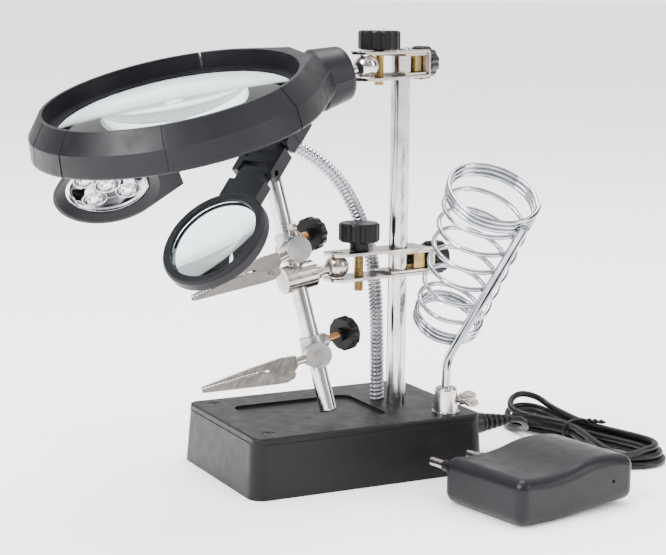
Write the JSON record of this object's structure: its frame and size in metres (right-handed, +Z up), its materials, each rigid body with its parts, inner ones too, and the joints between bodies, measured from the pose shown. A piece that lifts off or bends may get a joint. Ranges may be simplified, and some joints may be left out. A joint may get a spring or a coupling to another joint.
{
  "type": "helping hands magnifier stand",
  "caption": "Bench stand with a tilting magnifier, a swing-out small lens, a gooseneck lamp, sliding alligator clips on a cross rod, a coil iron holder and a corded wall adapter.",
  "frame": {"origin": "centre of the base's underside, on the standing surface", "axes": "+Z up along the post, +X along the base's long edge towards the iron holder, -Y towards the user"},
  "size_m": [0.2625, 0.1514, 0.179],
  "materials": {
    "black_plastic": "fine moulded texture",
    "satin_black": "satin",
    "knob_black": "moulded",
    "rubber": "moulded",
    "chrome_rod": "polished plate",
    "nickel": "nickel plate",
    "brass": "turned",
    "lens_glass": "polished",
    "reflector": "metallised",
    "led_clear": "clear",
    "cell": "wrapped",
    "board": "laminate",
    "black_cord": "smooth",
    "adapter_plastic": "fine texture"
  },
  "bodies": {
    "stand": {"base_case": "black_plastic", "top_cover": "black_plastic", "cover_screws": "nickel", "rubber_feet": "rubber", "post": "chrome_rod", "battery_cells": "cell", "driver_board": "board", "dc_jack": "black_cord", "fixing_nuts": "nickel", "gooseneck": "chrome_rod", "iron_socket": "chrome_rod", "dc_plug": "black_cord", "cord_lead": "black_cord", "cord_hank": "black_cord", "adapter_case": "adapter_plastic", "adapter_pins": "chrome_rod", "adapter_strain_relief": "black_cord"},
    "battery_door": {"battery_door": "black_plastic"},
    "switch_slider": {"switch_slider": "black_plastic"},
    "upper_bracket": {"upper_bracket": "nickel", "upper_shoe": "nickel", "upper_block_nut": "brass"},
    "lower_bracket": {"lower_bracket": "nickel", "lower_shoe": "nickel", "lower_block_nut": "brass"},
    "upper_lock_knob": {"upper_lock_knob": "knob_black"},
    "lower_lock_knob": {"lower_lock_knob": "knob_black"},
    "upper_clamp_knob": {"upper_clamp_knob": "knob_black", "upper_clamp_screw": "brass"},
    "lower_clamp_knob": {"lower_clamp_knob": "knob_black", "lower_clamp_screw": "brass"},
    "upper_stud": {"upper_ball_stud": "chrome_rod"},
    "magnifier": {"housing_upper": "satin_black", "housing_lower": "satin_black", "main_lens": "lens_glass", "swing_mount": "satin_black"},
    "swing_link": {"swing_link": "satin_black"},
    "small_lens": {"small_frame": "satin_black", "small_lens": "lens_glass"},
    "lamp": {"lamp_shade": "satin_black", "lamp_reflector": "reflector", "lamp_leds": "led_clear"},
    "iron_holder": {"iron_coil": "nickel", "iron_support": "nickel"},
    "holder_wing_screw": {"holder_wing_screw": "chrome_rod"},
    "clip_wing_screw": {"clip_wing_screw": "chrome_rod"},
    "cross_rod_stud": {"lower_ball_stud": "nickel"},
    "cross_rod": {"cross_rod": "chrome_rod"},
    "upper_block": {"upper_block": "nickel"},
    "upper_block_knob": {"upper_block_knob": "knob_black", "upper_block_screw": "brass"},
    "upper_clip": {"upper_clip_fixed_jaw": "nickel", "upper_clip_pin_and_spring": "nickel"},
    "upper_jaw": {"upper_clip_moving_jaw": "nickel"},
    "lower_block": {"lower_block": "nickel"},
    "lower_block_knob": {"lower_block_knob": "knob_black", "lower_block_screw": "brass"},
    "lower_clip": {"lower_clip_fixed_jaw": "nickel", "lower_clip_pin_and_spring": "nickel"},
    "lower_jaw": {"lower_clip_moving_jaw": "nickel"}
  },
  "joints": [
    {"name": "upper_bracket_swing", "type": "hinge", "parent": "stand", "child": "upper_bracket", "pos_m": [0.028, -0.0025, 0.1653], "axis": [0, 0, 1], "range_deg": [-12, 60]},
    {"name": "lower_bracket_slide", "type": "slide", "parent": "stand", "child": "lower_bracket", "axis": [0, 0, 1], "range_m": [-0.002, 0.005]},
    {"name": "upper_lock_knob_turn", "type": "hinge", "parent": "upper_bracket", "child": "upper_lock_knob", "pos_m": [0.028, -0.0025, 0.1653], "axis": [0.8251, 0.565, 0], "continuous": true},
    {"name": "upper_clamp_knob_turn", "type": "hinge", "parent": "upper_bracket", "child": "upper_clamp_knob", "pos_m": [0.0115, -0.0138, 0.1653], "axis": [0, 0, 1], "continuous": true},
    {"name": "lower_lock_knob_turn", "type": "hinge", "parent": "lower_bracket", "child": "lower_lock_knob", "pos_m": [0.028, -0.0025, 0.0844], "axis": [0.9903, 0.1392, 0], "continuous": true},
    {"name": "lower_clamp_knob_turn", "type": "hinge", "parent": "lower_bracket", "child": "lower_clamp_knob", "pos_m": [0.00819, -0.00528, 0.0844], "axis": [0, 0, 1], "continuous": true},
    {"name": "magnifier_tilt", "type": "hinge", "parent": "upper_bracket", "child": "upper_stud", "pos_m": [0.00242, -0.02001, 0.1653], "axis": [0.0462, 0.9921, 0.1163], "range_deg": [-2, 34]},
    {"name": "magnifier_roll", "type": "hinge", "parent": "upper_stud", "child": "magnifier", "pos_m": [-0.00675, -0.01931, 0.16292], "axis": [0.9653, -0.0743, 0.2504], "range_deg": [-16, 32]},
    {"name": "small_lens_swing", "type": "hinge", "parent": "magnifier", "child": "swing_link", "pos_m": [-0.05157, -0.0509, 0.13982], "axis": [0.4197, -0.9077, 0.0049], "range_deg": [-15, 75]},
    {"name": "small_lens_tilt", "type": "hinge", "parent": "swing_link", "child": "small_lens", "pos_m": [-0.06041, -0.05504, 0.12978], "axis": [-0.4197, 0.9077, -0.0049], "range_deg": [-50, 30]},
    {"name": "lamp_twist", "type": "hinge", "parent": "stand", "child": "lamp", "pos_m": [-0.06384, -0.01039, 0.133], "axis": [0.8756, -0.4046, 0.2639], "range_deg": [-15, 55]},
    {"name": "iron_holder_turn", "type": "hinge", "parent": "stand", "child": "iron_holder", "pos_m": [0.0379, -0.027, 0.0242], "axis": [0, 0, 1], "range_deg": [-90, 30]},
    {"name": "holder_wing_screw_turn", "type": "hinge", "parent": "stand", "child": "holder_wing_screw", "pos_m": [0.0379, -0.027, 0.0298], "axis": [0.9397, -0.342, 0], "continuous": true},
    {"name": "clip_wing_screw_turn", "type": "hinge", "parent": "upper_block", "child": "clip_wing_screw", "pos_m": [-0.02353, -0.01301, 0.09345], "axis": [-0.1668, 0.2092, 0.9635], "continuous": true},
    {"name": "cross_rod_tilt", "type": "hinge", "parent": "lower_bracket", "child": "cross_rod_stud", "pos_m": [-0.0027, -0.00681, 0.0844], "axis": [-0.9855, -0.0655, -0.1564], "range_deg": [-30, 30]},
    {"name": "cross_rod_spin", "type": "hinge", "parent": "cross_rod_stud", "child": "cross_rod", "pos_m": [-0.02142, -0.00806, 0.08143], "axis": [0.1668, -0.2092, -0.9635], "range_deg": [-40, 40]},
    {"name": "upper_block_slide", "type": "slide", "parent": "cross_rod", "child": "upper_block", "axis": [-0.1668, 0.2092, 0.9635], "range_m": [0, 0.02]},
    {"name": "upper_block_knob_turn", "type": "hinge", "parent": "upper_block", "child": "upper_block_knob", "pos_m": [-0.02394, -0.0049, 0.09598], "axis": [0.8149, 0.5794, 0.0153], "continuous": true},
    {"name": "upper_clip_roll", "type": "hinge", "parent": "upper_block", "child": "upper_clip", "pos_m": [-0.02353, -0.01301, 0.09345], "axis": [-0.9436, -0.0322, -0.3295], "range_deg": [-170, 170]},
    {"name": "upper_jaw_open", "type": "hinge", "parent": "upper_clip", "child": "upper_jaw", "pos_m": [-0.03637, -0.01432, 0.08482], "axis": [-0.0385, -0.9779, 0.2057], "range_deg": [0, 25], "stiffness_Nm_per_rad": 0.05, "springref_deg": -17.19},
    {"name": "lower_block_slide", "type": "slide", "parent": "cross_rod", "child": "lower_block", "axis": [-0.1668, 0.2092, 0.9635], "range_m": [-0.01, 0.012]},
    {"name": "lower_block_knob_turn", "type": "hinge", "parent": "lower_block", "child": "lower_block_knob", "pos_m": [-0.01685, -0.01379, 0.05503], "axis": [0.925, 0.3717, 0.0795], "continuous": true},
    {"name": "lower_clip_roll", "type": "hinge", "parent": "lower_block", "child": "lower_clip", "pos_m": [-0.01819, -0.02169, 0.05215], "axis": [-0.9403, 0.2318, -0.2494], "range_deg": [-170, 170]},
    {"name": "lower_jaw_open", "type": "hinge", "parent": "lower_clip", "child": "lower_jaw", "pos_m": [-0.0315, -0.01908, 0.04459], "axis": [-0.2757, -0.9481, 0.1582], "range_deg": [0, 25], "stiffness_Nm_per_rad": 0.05, "springref_deg": -17.19},
    {"name": "battery_door_slide", "type": "slide", "parent": "stand", "child": "battery_door", "axis": [0, 1, 0], "range_m": [0, 0.004]},
    {"name": "switch_slide", "type": "slide", "parent": "stand", "child": "switch_slider", "axis": [1, 0, 0], "range_m": [0, 0.004]}
  ]
}
